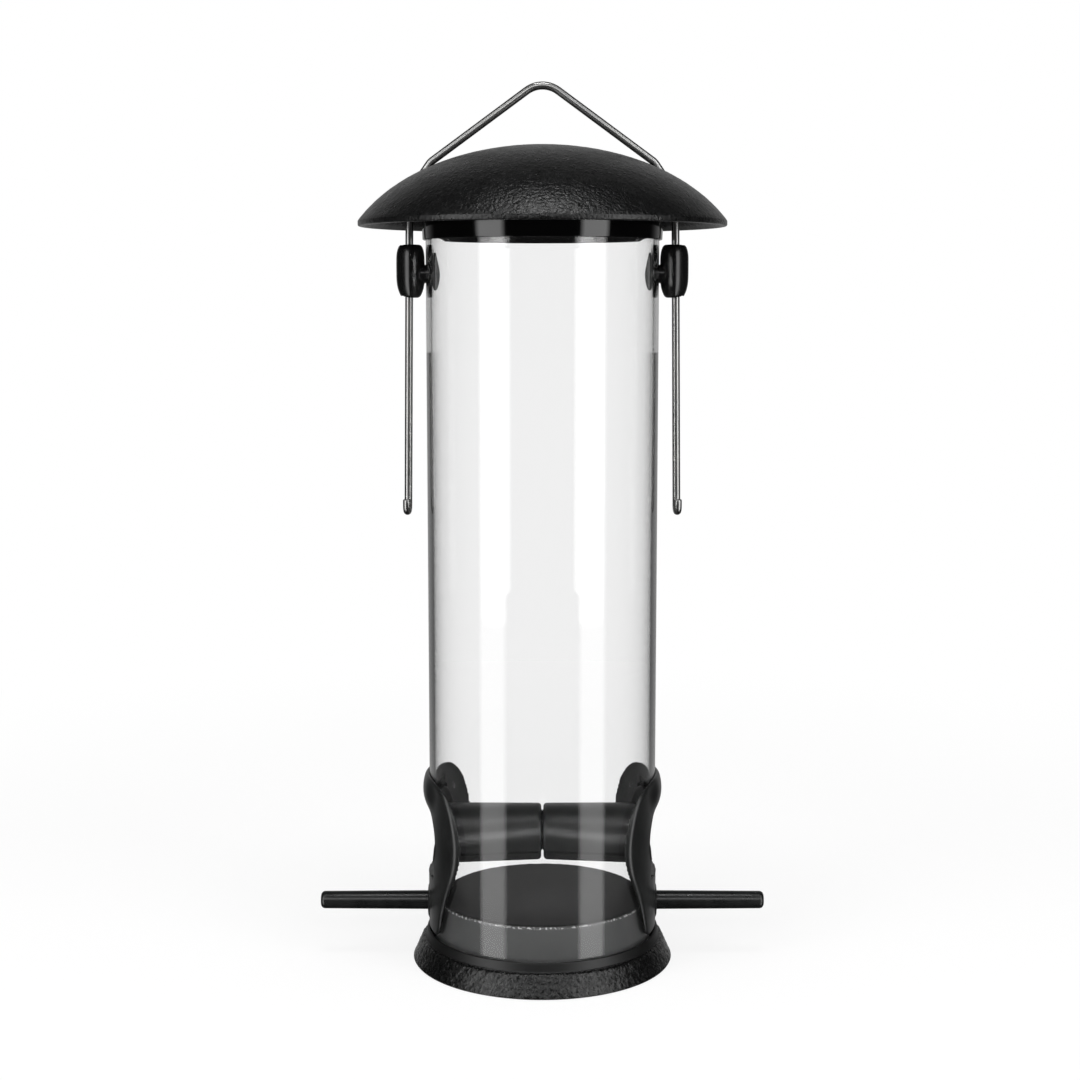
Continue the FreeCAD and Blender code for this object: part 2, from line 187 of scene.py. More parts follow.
def sweep(points, radius, sides=20, bevel=0.35):
    """A round wire along a path, its end faces bevelled with a quarter round."""
    last = len(points) - 1
    tangents = [(points[min(i + 1, last)] - points[max(i - 1, 0)]).normalized()
                for i in range(last + 1)]
    rings = []
    for i, (point, tangent) in enumerate(zip(points, tangents)):
        if 0 < i < last:
            rings.append((point, tangent, radius))
            continue
        turns = [math.radians(t) for t in (88, 60, 30, 0)]
        inward = tangent if i == 0 else -tangent
        end = [(point + inward * bevel * (1 - math.sin(t)), tangent,
                radius - bevel + bevel * math.cos(t)) for t in turns]
        rings += end if i == 0 else end[::-1]
    across = Vector((0, 1, 0)).cross(tangents[0]).normalized()
    verts, faces = [], []
    for point, tangent, size in rings:
        across = (across - tangent * across.dot(tangent)).normalized()
        up = tangent.cross(across)
        for k in range(sides):
            angle = 2 * math.pi * k / sides
            verts.append(point + (across * math.cos(angle) + up * math.sin(angle)) * size)
    for i in range(len(rings) - 1):
        for k in range(sides):
            m = (k + 1) % sides
            a, b = i * sides, (i + 1) * sides
            faces.append((a + k, a + m, b + m, b + k))
    faces.append(tuple(range(sides)))
    faces.append(tuple(range((len(rings) - 1) * sides, len(rings) * sides)))
    return np.array([tuple(v) for v in verts]), faces


# ------------------------------------------------------------------ moulded shapes as fields
# A field is a function of points that is negative inside a shape and roughly its distance
# in millimetres. Shapes are joined with a smooth step, which gives them moulded fillets.


def join(a, b, k=0.0):
    """Smooth union of two fields with a fillet of about k."""
    if k == 0:
        return np.minimum(a, b)
    h = np.clip(0.5 + 0.5 * (b - a) / k, 0, 1)
    return b + (a - b) * h - k * h * (1 - h)


def both(a, b, k=0.0):
    """Smooth intersection, with an edge rounded by about k."""
    return -join(-a, -b, k)


def without(a, b, k=0.0):
    """The first field less the second."""
    return both(a, -b, k)


def stretch_field(x, y, z, centre, radii):
    """An ellipsoid."""
    q = np.sqrt(((x - centre[0]) / radii[0]) ** 2 + ((y - centre[1]) / radii[1]) ** 2
                + ((z - centre[2]) / radii[2]) ** 2)
    return (q - 1) * min(radii)


def oval(u, v, half_u, half_v, radius):
    """A rounded rectangle in the plane of u and v."""
    a = np.abs(u) - half_u + radius
    b = np.abs(v) - half_v + radius
    return np.hypot(np.maximum(a, 0), np.maximum(b, 0)) + np.minimum(np.maximum(a, b), 0) - radius


def surface_of(field, low, high, pitch):
    """Vertices and quads of a field's zero surface: one vertex per cell that it crosses."""
    axes = [np.arange(lo, hi + pitch, pitch) for lo, hi in zip(low, high)]
    grid = np.meshgrid(*axes, indexing="ij")
    values = field(*grid)
    inside = values < 0
    shape = np.array(values.shape) - 1
    total = np.zeros((*shape, 3))
    crossings = np.zeros(shape)
    for axis in range(3):
        sides = [slice(None)] * 3
        ends = [slice(None)] * 3
        sides[axis], ends[axis] = slice(0, -1), slice(1, None)
        a, b = values[tuple(sides)], values[tuple(ends)]
        crossed = (a < 0) != (b < 0)
        share = np.where(crossed, a / np.where(crossed, a - b, 1), 0)
        others = [i for i in range(3) if i != axis]
        for du in (0, 1):
            for dv in (0, 1):
                cut = [slice(None)] * 3
                cut[others[0]] = slice(du, du + shape[others[0]])
                cut[others[1]] = slice(dv, dv + shape[others[1]])
                hit = crossed[tuple(cut)]
                total[..., axis] += np.where(hit, share[tuple(cut)], 0)
                total[..., others[0]] += np.where(hit, du, 0)
                total[..., others[1]] += np.where(hit, dv, 0)
                crossings += hit
    used = crossings > 0
    index = -np.ones(shape, int)
    index[used] = np.arange(used.sum())
    cells = np.argwhere(used)
    verts = np.array(low) + (cells + total[used] / crossings[used][:, None]) * pitch
    faces = []
    for axis in range(3):
        sides = [slice(None)] * 3
        ends = [slice(None)] * 3
        sides[axis], ends[axis] = slice(0, -1), slice(1, None)
        crossed = inside[tuple(sides)] != inside[tuple(ends)]
        u, v = (axis + 1) % 3, (axis + 2) % 3
        spots = np.argwhere(crossed)
        keep = (spots[:, u] > 0) & (spots[:, v] > 0)
        keep &= (spots[:, u] < shape[u]) & (spots[:, v] < shape[v])
        spots = spots[keep]
        quad = []
        for du, dv in ((0, 0), (-1, 0), (-1, -1), (0, -1)):
            cell = spots.copy()
            cell[:, u] += du
            cell[:, v] += dv
            quad.append(index[cell[:, 0], cell[:, 1], cell[:, 2]])
        quads = np.stack(quad, axis=1)
        outward = inside[tuple(sides)][tuple(spots.T)]
        quads[~outward] = quads[~outward][:, ::-1]
        faces += quads.tolist()
    return settled(field, verts, faces, pitch), faces


def settled(field, verts, faces, pitch):
    """Evens out the vertices and brings them back onto the field's zero surface."""
    quads = np.array(faces)
    pairs = np.concatenate([quads[:, [i, (i + 1) % 4]] for i in range(4)])
    for turn in range(6):
        if turn < 4:
            near = np.zeros_like(verts)
            count = np.zeros(len(verts))
            for a, b in ((0, 1), (1, 0)):
                np.add.at(near, pairs[:, a], verts[pairs[:, b]])
                np.add.at(count, pairs[:, a], 1)
            verts = verts * 0.5 + near / count[:, None] * 0.5
        here = field(*verts.T)
        tiny = 0.02
        slope = np.stack([field(*(verts + tiny * np.eye(3)[i]).T)
                          - field(*(verts - tiny * np.eye(3)[i]).T) for i in range(3)], axis=1)
        slope /= 2 * tiny
        step = -here[:, None] * slope / np.maximum((slope ** 2).sum(1), 0.2)[:, None]
        verts = verts + np.clip(step, -pitch, pitch)
    return verts


def turned_to(verts, side):
    """A copy of +X vertices, turned about Z to the named side."""
    c, s = math.cos(SIDES[side]), math.sin(SIDES[side])
    return verts @ np.array([[c, s, 0], [-s, c, 0], [0, 0, 1]])


def carved(piece, cutters, operation="DIFFERENCE"):
    """Applies a Boolean with each (verts, faces) cutter, in millimetres, then drops the cutters."""
    for number, (verts, faces) in enumerate(cutters):
        cutter = mesh_object(f"cutter_{number}", verts, faces)
        mesh = cutter.data
        cut = piece.modifiers.new("cut", "BOOLEAN")
        cut.object = cutter
        cut.operation = operation
        cut.solver = "EXACT"
        bpy.context.view_layer.update()
        evaluated = piece.evaluated_get(bpy.context.evaluated_depsgraph_get())
        result = bpy.data.meshes.new_from_object(evaluated)
        piece.modifiers.clear()
        old = piece.data
        piece.data = result
        bpy.data.meshes.remove(old)
        bpy.data.objects.remove(cutter)
        bpy.data.meshes.remove(mesh)
        result.name = piece.name


def prism(front, back):
    """A closed prism between two matching rings of points."""
    count = len(front)
    faces = [tuple(range(count)), tuple(range(count, 2 * count))]
    faces += [(i, (i + 1) % count, count + (i + 1) % count, count + i) for i in range(count)]
    return np.array(front + back), faces


def drawn_along_x(outline, start, end):
    """A closed prism from a (y, z) outline."""
    return prism([(start, *p) for p in outline], [(end, *p) for p in outline])


def drawn_along_z(outline, low, high):
    """A closed prism from an (x, y) outline."""
    return prism([(*p, low) for p in outline], [(*p, high) for p in outline])


def circle(radius, centre, sides=40):
    """Points of a circle in two dimensions."""
    turns = [2 * math.pi * k / sides for k in range(sides)]
    return [(centre[0] + radius * math.cos(t), centre[1] + radius * math.sin(t)) for t in turns]


# ------------------------------------------------------------------ materials


class Look:
    """A Principled material built up from noise, with short names for the usual nodes."""

    def __init__(self, name, colour, roughness, metallic=0.0, specular=0.5):
        self.material = bpy.data.materials.new(name)
        self.material.use_nodes = True
        self.tree = self.material.node_tree
        self.shader = self.tree.nodes["Principled BSDF"]
        self.shader.inputs["Base Color"].default_value = (*colour, 1)
        self.shader.inputs["Roughness"].default_value = roughness
        self.shader.inputs["Metallic"].default_value = metallic
        self.shader.inputs["Specular IOR Level"].default_value = specular
        self.place = self.tree.nodes.new("ShaderNodeTexCoord").outputs["Object"]
        self.bumps = []

    def reach(self):
        """Distance from the Z axis in object coordinates."""
        flat = self.tree.nodes.new("ShaderNodeVectorMath")
        flat.operation = "MULTIPLY"
        flat.inputs[1].default_value = (1, 1, 0)
        self.tree.links.new(self.place, flat.inputs[0])
        length = self.tree.nodes.new("ShaderNodeVectorMath")
        length.operation = "LENGTH"
        self.tree.links.new(flat.outputs["Vector"], length.inputs[0])
        return length.outputs["Value"]

    def height(self):
        """Height in object coordinates."""
        node = self.tree.nodes.new("ShaderNodeSeparateXYZ")
        self.tree.links.new(self.place, node.inputs["Vector"])
        return node.outputs["Z"]

    def noise(self, scale, detail=4.0, rough=0.5):
        """Noise of about 0.3 to 0.7, with so many waves to a metre."""
        node = self.tree.nodes.new("ShaderNodeTexNoise")
        node.inputs["Scale"].default_value = scale
        node.inputs["Detail"].default_value = detail
        node.inputs["Roughness"].default_value = rough
        self.tree.links.new(self.place, node.inputs["Vector"])
        return node.outputs["Fac"]

    def wobbled(self, scale, amount):
        """Object coordinates pushed about by noise, by up to an amount in millimetres."""
        node = self.tree.nodes.new("ShaderNodeTexNoise")
        node.inputs["Scale"].default_value = scale
        self.tree.links.new(self.place, node.inputs["Vector"])
        push = self.tree.nodes.new("ShaderNodeVectorMath")
        push.operation = "MULTIPLY_ADD"
        push.inputs[1].default_value = (amount * MM,) * 3
        self.tree.links.new(node.outputs["Color"], push.inputs[0])
        self.tree.links.new(self.place, push.inputs[2])
        return push.outputs["Vector"]

    def creases(self, scale, where, width):
        """Pillows parted by creases: 0 in a crease, 1 on a pillow."""
        node = self.tree.nodes.new("ShaderNodeTexVoronoi")
        node.feature = "DISTANCE_TO_EDGE"
        node.inputs["Scale"].default_value = scale
        self.tree.links.new(where, node.inputs["Vector"])
        return self.spread(node.outputs["Distance"], 0.0, 1.0, 0.0, width)

    def spread(self, value, low, high, begin=0.3, end=0.7):
        """A noise value mapped to a range."""
        node = self.tree.nodes.new("ShaderNodeMapRange")
        node.inputs["From Min"].default_value = begin
        node.inputs["From Max"].default_value = end
        node.inputs["To Min"].default_value = low
        node.inputs["To Max"].default_value = high
        self.tree.links.new(value, node.inputs["Value"])
        return node.outputs["Result"]

    def tint(self, value, dark, light):
        """A noise value mapped to a range of base colours."""
        ramp = self.tree.nodes.new("ShaderNodeValToRGB")
        ramp.color_ramp.elements[0].position = 0.3
        ramp.color_ramp.elements[0].color = (*dark, 1)
        ramp.color_ramp.elements[1].position = 0.7
        ramp.color_ramp.elements[1].color = (*light, 1)
        self.tree.links.new(value, ramp.inputs["Fac"])
        self.tree.links.new(ramp.outputs["Color"], self.shader.inputs["Base Color"])

    def layer(self, mask, colour):
        """Lays a colour over the base colour where a mask is 1."""
        mix = self.tree.nodes.new("ShaderNodeMixRGB")
        mix.inputs["Color2"].default_value = (*colour, 1)
        base = self.shader.inputs["Base Color"]
        self.tree.links.new(mask, mix.inputs["Fac"])
        self.tree.links.new(base.links[0].from_socket, mix.inputs["Color1"])
        self.tree.links.new(mix.outputs["Color"], base)

    def times(self, *values):
        """The product of several masks."""
        product = values[0]
        for value in values[1:]:
            node = self.tree.nodes.new("ShaderNodeMath")
            node.operation = "MULTIPLY"
            self.tree.links.new(product, node.inputs[0])
            self.tree.links.new(value, node.inputs[1])
            product = node.outputs["Value"]
        return product

    def rough(self, value, low, high):
        """A noise value mapped to a range of roughness."""
        self.tree.links.new(self.spread(value, low, high), self.shader.inputs["Roughness"])

    def bump(self, value, height):
        """Adds a bump of that height in millimetres on top of any bump already there."""
        node = self.tree.nodes.new("ShaderNodeBump")
        node.inputs["Strength"].default_value = 1.0
        node.inputs["Distance"].default_value = height * MM
        self.tree.links.new(value, node.inputs["Height"])
        normal = self.shader.inputs["Normal"]
        if normal.is_linked:
            self.tree.links.new(normal.links[0].from_socket, node.inputs["Normal"])
        self.tree.links.new(node.outputs["Normal"], normal)
        self.bumps.append(node)


def coated(name, relief, grain):
    """Black powder coat over a leathery casting."""
    look = Look(name, (0.0025, 0.0026, 0.0026), 0.3, specular=0.42)
    look.tint(look.noise(180), (0.0018, 0.0019, 0.0019), (0.0034, 0.0035, 0.0035))
    look.bump(look.creases(700, look.wobbled(600, 1.6), 0.4), 0.07 * relief)
    look.bump(look.noise(grain, 4, 0.6), 0.12 * relief)
    return look


def cast_look():
    """The coat on the dome, evenly glossy."""
    look = coated("cast_black", 1.0, 1300)
    look.rough(look.noise(420), 0.26, 0.36)
    return look.material


def base_look():
    """The same coat, patchier, on the foot ring; the plug's side lifted to grey as painted light,
    its top kept near black as painted shade, and painted glints along its top edge.
    """
    look = coated("cast_base", 1.2, 1100)
    height = look.height()
    flank = look.spread(height, 1.0, 0.0, (SHOULDER_Z - 0.5) * MM, (SHOULDER_Z + 0.3) * MM)
    look.rough(look.times(look.noise(1100, 2), flank), 0.45, 0.09)
    # Painted light and shade on the plug: these masks pick out the plug inside the tube and its top
    # face.
    plug = look.spread(look.reach(), 1.0, 0.0, TUBE_IN * MM, TUBE_R * MM)
    top = look.spread(height, 0.0, 1.0, (PLUG_Z - 0.5) * MM, (PLUG_Z - 0.1) * MM)
    # Painted highlight: a band just under the plug's top edge, broken up by noise specks, stands in
    # for glints of light on the rim.
    painted_glint_band = look.spread(height, 0.0, 1.0, (PLUG_Z - 0.9) * MM, (PLUG_Z - 0.6) * MM)
    glint_specks = look.spread(look.noise(1500, 3), 0.0, 1.0, 0.5, 0.62)
    # Painted light: the plug is lifted to grey, standing in for front light falling on its side.
    look.layer(plug, (0.06, 0.061, 0.061))
    # Painted highlight: light grey specks along the plug's top edge stand in for glints.
    look.layer(look.times(painted_glint_band, glint_specks, plug), (0.5, 0.5, 0.5))
    # Painted shade: the plug's top face is put back near black, darker than its side.
    look.layer(look.times(top, plug), (0.005, 0.005, 0.005))
    for bump in look.bumps:
        look.tree.links.new(flank, bump.inputs["Strength"])
    return look.material


def gloss_look():
    """Polished black plastic."""
    look = Look("gloss_black", (0.001, 0.001, 0.0011), 0.07)
    look.tint(look.noise(60), (0.0006, 0.0006, 0.0007), (0.0014, 0.0014, 0.0015))
    look.rough(look.noise(90), 0.05, 0.1)
    look.bump(look.noise(140, 2), 0.003)
    return look.material


def satin_look():
    """Satin black moulded plastic."""
    look = Look("satin_black", (0.0085, 0.009, 0.009), 0.34)
    look.tint(look.noise(120), (0.007, 0.0074, 0.0074), (0.0105, 0.011, 0.011))
    look.rough(look.noise(300), 0.3, 0.38)
    look.bump(look.noise(3200, 3), 0.004)
    return look.material


def guide_look():
    """Polished black plastic, a little softer than the cap."""
    look = Look("guide_black", (0.003, 0.003, 0.0031), 0.24)
    look.tint(look.noise(120), (0.0022, 0.0022, 0.0023), (0.004, 0.004, 0.0041))
    look.rough(look.noise(300), 0.2, 0.28)
    look.bump(look.noise(900, 2), 0.003)
    return look.material


def perch_look():
    """Smooth satin powder coat on the perches."""
    look = Look("perch_black", (0.006, 0.0063, 0.0063), 0.3)
    look.tint(look.noise(150), (0.005, 0.0053, 0.0053), (0.0075, 0.0078, 0.0078))
    look.rough(look.noise(500), 0.26, 0.36)
    look.bump(look.noise(1500, 3), 0.008)
    return look.material


def wire_look():
    """Drawn stainless wire, softly polished."""
    look = Look("stainless_wire", (0.32, 0.32, 0.31), 0.3, metallic=1.0)
    look.tint(look.noise(60, 2), (0.3, 0.3, 0.3), (0.35, 0.35, 0.34))
    look.rough(look.noise(40, 2), 0.28, 0.34)
    return look.material


def screw_look():
    """Zinc-plated screws."""
    look = Look("zinc_screw", (0.55, 0.55, 0.53), 0.35, metallic=1.0)
    look.tint(look.noise(900), (0.45, 0.45, 0.43), (0.62, 0.62, 0.6))
    look.rough(look.noise(1400), 0.28, 0.45)
    return look.material


def clear_look():
    """Clear polycarbonate that lets lamps through."""
    look = Look("clear_tube", (0.995, 0.995, 0.995), 0.0)
    look.shader.inputs["Transmission Weight"].default_value = 1.0
    look.shader.inputs["IOR"].default_value = 1.45
    look.rough(look.noise(25, 2), 0.0, 0.01)
    nodes, links = look.tree.nodes, look.tree.links
    clear = nodes.new("ShaderNodeBsdfTransparent")
    path = nodes.new("ShaderNodeLightPath")
    mix = nodes.new("ShaderNodeMixShader")
    links.new(path.outputs["Is Shadow Ray"], mix.inputs["Fac"])
    links.new(look.shader.outputs["BSDF"], mix.inputs[1])
    links.new(clear.outputs["BSDF"], mix.inputs[2])
    links.new(mix.outputs["Shader"], nodes["Material Output"].inputs["Surface"])
    return look.material


LOOKS = {"cast_black": cast_look(), "cast_base": base_look(),
         "guide_black": guide_look(), "gloss_black": gloss_look(), "satin_black": satin_look(),
         "perch_black": perch_look(), "stainless_wire": wire_look(),
         "zinc_screw": screw_look(), "clear_tube": clear_look()}

# ------------------------------------------------------------------ the pieces


def hammer(piece, cell, depth, where):
    """Beats shallow irregular dents into a cast piece, inwards along its normals."""
    mesh = piece.data
    count = len(mesh.vertices)
    points = np.empty(count * 3)
    mesh.vertices.foreach_get("co", points)
    points = points.reshape(-1, 3)
    normals = np.empty(count * 3)
    mesh.vertices.foreach_get("normal", normals)
    normals = normals.reshape(-1, 3)
    share = where(points / MM, normals)
    moved = np.zeros(count)
    for i in np.nonzero(share > 0)[0]:
        spot = Vector(points[i]) / (cell * MM)
        near = noise.voronoi(spot)[0]
        wave = noise.noise(spot * 0.45)
        moved[i] = min(near[0], 1.0) * 0.7 + (0.5 + 0.5 * wave) * 0.3
    points -= normals * (moved * share * depth * MM)[:, None]
    mesh.vertices.foreach_set("co", points.reshape(-1))
    mesh.update()


def make_tube():
    """The clear tube, with its holes for the ports, the guides and the perch shanks."""
    lip = 0.4
    profile = rounded([(TUBE_IN, TUBE_LOW.z), (TUBE_R, TUBE_LOW.z), (TUBE_R, TUBE_HIGH.z),
                       (TUBE_IN, TUBE_HIGH.z)], [lip] * 4, steps=3, closed=True)
    profile = refined(profile + profile[:1], 6.0)[:-1]
    verts, faces = lathe(profile, 360, closed=True)
    piece = make_piece("clear_tube", verts, faces, "feeder",
                       LOOKS["clear_tube"], ["tube"])
    cutters = []
    for sign in (1, -1):
        start, end = sign * 20, sign * 40
        throat = rounded([(-THROAT_HALF, THROAT[0]), (THROAT_HALF, THROAT[0]),
                          (THROAT_HALF, THROAT[1]), (-THROAT_HALF, THROAT[1])],
                         [THROAT_ROUND] * 4, steps=8, closed=True)
        cutters.append(drawn_along_x(throat, start, end))
        cutters.append(drawn_along_x(circle(NECK_R + 0.1, (0, NECK_Z)), start, end))
        cutters.append(drawn_along_x(circle(SHANK_R + 0.2, (0, PERCH_Z)), start, end))
    carved(piece, cutters)
    return piece


def make_base():
    """The cast foot ring, its rim and the hollow plug, with the perch bosses inside."""
    groove, floor = TUBE_R + 0.2, TUBE_LOW.z
    corners = [(0, PLUG_Z), (PLUG_TOP_R, PLUG_Z), (PLUG_FOOT_R, RIM_Z), (PLUG_FOOT_R, floor),
               (groove, floor), (groove, RIM_Z), (RIM_R, RIM_Z - 0.1), (COVE_R, COVE_Z),
               (SHOULDER_R, SHOULDER_Z), (FOOT_R, FOOT_EDGE_Z), (FOOT_R - FOOT_CHAMFER, 0),
               (FOOT_R - CAST_WALL, 0), (SHOULDER_R - CAST_WALL, FOOT_RECESS),
               (HOLLOW_FOOT_R, FOOT_RECESS), (HOLLOW_TOP_R, PLUG_Z - CAST_WALL),
               (0, PLUG_Z - CAST_WALL)]
    radii = [0, 0.5, 0.6, 0, 0, 0.2, 0.25, 0.3, 0.9, 0.2, 0.1, 0.3, 0.8, 1.0, 1.5, 0]
    profile = refined(rounded(corners, radii, steps=5), 0.5)
    verts, faces = lathe(profile, 520, closed=False)
    piece = make_piece("base", verts, faces, "feeder", LOOKS["cast_base"],
                       ["base_casting"], merge=0.005)

    def outside(points, normals):
        radius = np.hypot(points[:, 0], points[:, 1])
        flank = (radius > COVE_R + 0.3) & (points[:, 2] > 0.25) & (normals[:, 2] > -0.4)
        edge = (radius > PLUG_TOP_R - 0.6) & (radius < PLUG_FOOT_R) & (points[:, 2] > PLUG_Z - 0.8)
        return np.where(flank, 1.0, np.where(edge, 0.6, 0.0))

    hammer(piece, 1.3, 0.34, outside)
    boss = circle(BASE_BOSS_R, (0, PERCH_Z - BASE_BOSS_DROP))
    hole = circle(SHANK_R + 0.05, (0, PERCH_Z))
    bosses = [drawn_along_x(boss, *(sign * end for end in BASE_BOSS)) for sign in (1, -1)]
    holes = [drawn_along_x(hole, *(sign * end for end in BASE_HOLE)) for sign in (1, -1)]
    carved(piece, bosses, "UNION")
    carved(piece, holes)
    return piece


def dome_height(radius, inset=0.0):
    """Height of the dome's ellipse at a radius, or of the same ellipse set in."""
    a, b = DOME_A - inset, DOME_B - inset
    return DOME_HIGH.z - DOME_B + b * math.sqrt(1 - (radius / a) ** 2)


def make_dome():
    """The domed lid casting, thin at its rim, with a slot on each side for the wire."""
    low = DOME_LOW.z
    last = math.asin((DOME_R - 0.5) / DOME_A)
    outer = [Vector((DOME_A * math.sin(last * k / 40), 0)) for k in range(41)]
    outer = [Vector((p.x, dome_height(p.x))) for p in outer]
    last = math.asin(DOME_BORE_R / (DOME_A - DOME_WALL))
    inner = [Vector(((DOME_A - DOME_WALL) * math.sin(last * k / 24), 0)) for k in range(25)]
    inner = [Vector((p.x, dome_height(p.x, DOME_WALL))) for p in inner]
    lip = rounded([outer[-1], (DOME_R, dome_height(DOME_R) - 0.1), (DOME_R, low),
                   (inner[-1].x, low), inner[-1]], [0, 0.4, 0.45, 0.2, 0], steps=4)
    profile = refined(outer[:-1] + lip[:-1], 0.5) + inner[::-1]
    verts, faces = lathe(profile, 600, closed=False)
    piece = make_piece("lid_dome_cast", verts, faces, "lid", LOOKS["cast_black"],
                       ["lid_dome"], merge=0.005)

    def outside(points, normals):
        radius = np.hypot(points[:, 0], points[:, 1])
        inside = np.array([dome_height(min(r, DOME_BORE_R), DOME_WALL) for r in radius])
        skin = (normals[:, 2] > 0) & (points[:, 2] > np.maximum(inside, low) + 0.5)
        return np.where(skin, np.clip((DOME_R - radius) / 1.5, 0.3, 1.0), 0.0)

    hammer(piece, 1.8, 0.09, outside)
    slots, bosses, pilots = [], [], []
    half = SLOT_WIDTH / 2
    for sign in (1, -1):
        outline = rounded([(sign * SLOT_IN, -half), (sign * SLOT_OUT, -half),
                           (sign * SLOT_OUT, half), (sign * SLOT_IN, half)],
                          [half - 0.02] * 4, steps=8, closed=True)
        slots.append(drawn_along_z(outline, *SLOT_CUT))
    for k in range(LID_SCREWS):
        angle = math.radians(90 + 360 * k / LID_SCREWS)
        spot = (LID_SCREW_CIRCLE * math.cos(angle), LID_SCREW_CIRCLE * math.sin(angle))
        bosses.append(drawn_along_z(circle(LID_BOSS_R, spot), CAP_HIGH.z,
                                    dome_height(LID_SCREW_CIRCLE) - 1.2))
        pilots.append(drawn_along_z(circle(SHANK_R + 0.05, spot), CAP_HIGH.z - 1,
                                    CAP_HIGH.z + LID_PILOT))
    carved(piece, slots)
    carved(piece, bosses, "UNION")
    carved(piece, pilots)
    return piece


def make_cap():
    """The glossy cap that closes the tube under the dome."""
    under = CAP_HIGH.z - CAP_PLATE
    bore = CAP_R - CAP_WALL
    skirt = CAP_LOW.z + CAP_TRIM
    corners = [(0, CAP_HIGH.z), (CAP_R, CAP_HIGH.z), (CAP_R - DRAFT, skirt), (bore, skirt),
               (bore, under), (0, under)]
    profile = rounded(corners, [0, 0.6, 0.25, 0.1, 0.2, 0], steps=5)
    verts, faces = lathe(refined(profile, 3.0), 320, closed=False)
    return make_piece("lid_cap_gloss", verts, faces, "lid",
                      LOOKS["gloss_black"], ["lid_cap"], merge=0.005)


def bail_path():
    """Centre line of the wire from one hook over the top to the other, as the frame has it."""
    hook_x, hook_y, bend = LEG_FOOT[0] + HOOK_SPLAY, -2 * HOOK_R, HOOK_R - 0.01
    half = [((BAIL_APEX[0], 0, BAIL_APEX[1]), APEX_BEND),
            ((SHOULDER[0], 0, SHOULDER[1]), SHOULDER_BEND),
            ((LEG_TOP[0], 0, LEG_TOP[1]), LEG_TOP_BEND), ((LEG_FOOT[0], 0, LEG_FOOT[1]), bend),
            ((hook_x, hook_y, LEG_FOOT[1]), bend), ((hook_x, hook_y, HOOK_TIP_Z), 0)]
    whole = [((-x, y, z), r) for (x, y, z), r in reversed(half[1:])] + half
    return refined(rounded([p for p, r in whole], [r for p, r in whole], steps=14), 6.0)


def make_bail():
    """The stainless wire bail."""
    verts, faces = sweep(bail_path(), WIRE_R, sides=28)
    return make_piece("wire_bail_bright", verts, faces, "bail",
                      LOOKS["stainless_wire"], ["wire_bail"])


def guide_field(x, y, z):
    """A faceted bead, narrower at its foot, with a neck that reaches through the tube wall."""
    u, v = x - GUIDE_X, y
    reach = np.maximum(np.abs(u), np.abs(v))
    slant = (np.abs(u) + np.abs(v)) / 1.24
    facets = both(reach, slant, 1.4)
    middle = (GUIDE_LOW.z + GUIDE_HIGH.z) / 2
    half = (GUIDE_HIGH.z - GUIDE_LOW.z) / 2
    t = (z - middle) / half
    width = GUIDE_R * np.where(t > 0, 1 - 0.25 * np.abs(t) ** 5, 1 - 0.36 * np.abs(t) ** 3.2)
    bead = both(facets - width, np.abs(z - middle) - half, 0.7)
    neck = both(np.hypot(y, z - NECK_Z) - NECK_R, TUBE_IN - PAD_THICK - x)
    neck = both(neck, x - GUIDE_X)
    bead = both(bead, TUBE_R + 0.1 - np.hypot(x, y))
    return without(join(bead, neck, 0.3), np.hypot(x - GUIDE_HOLE_X, y) - GUIDE_HOLE_R, 0.3)


def pad_field(x, y, z):
    """A teardrop inside the tube wall, pointed at the top."""
    radius = np.hypot(x, y)
    belly = PAD_LOW + PAD_BELLY
    lower = np.hypot(y / PAD_HALF, (z - belly) / PAD_BELLY) - 1
    lower = lower * min(PAD_BELLY, PAD_HALF)
    rise = np.clip((z - belly) / (PAD_HIGH - belly), -1, 1)
    upper = np.abs(y) - PAD_HALF * (1 - np.maximum(rise, 0) ** 1.6)
    outline = np.where(z < belly, lower, upper * 0.8)
    shell = both(radius - (TUBE_IN - 0.1), TUBE_IN - PAD_THICK - radius, 0.3)
    return both(shell, outline, 0.5)


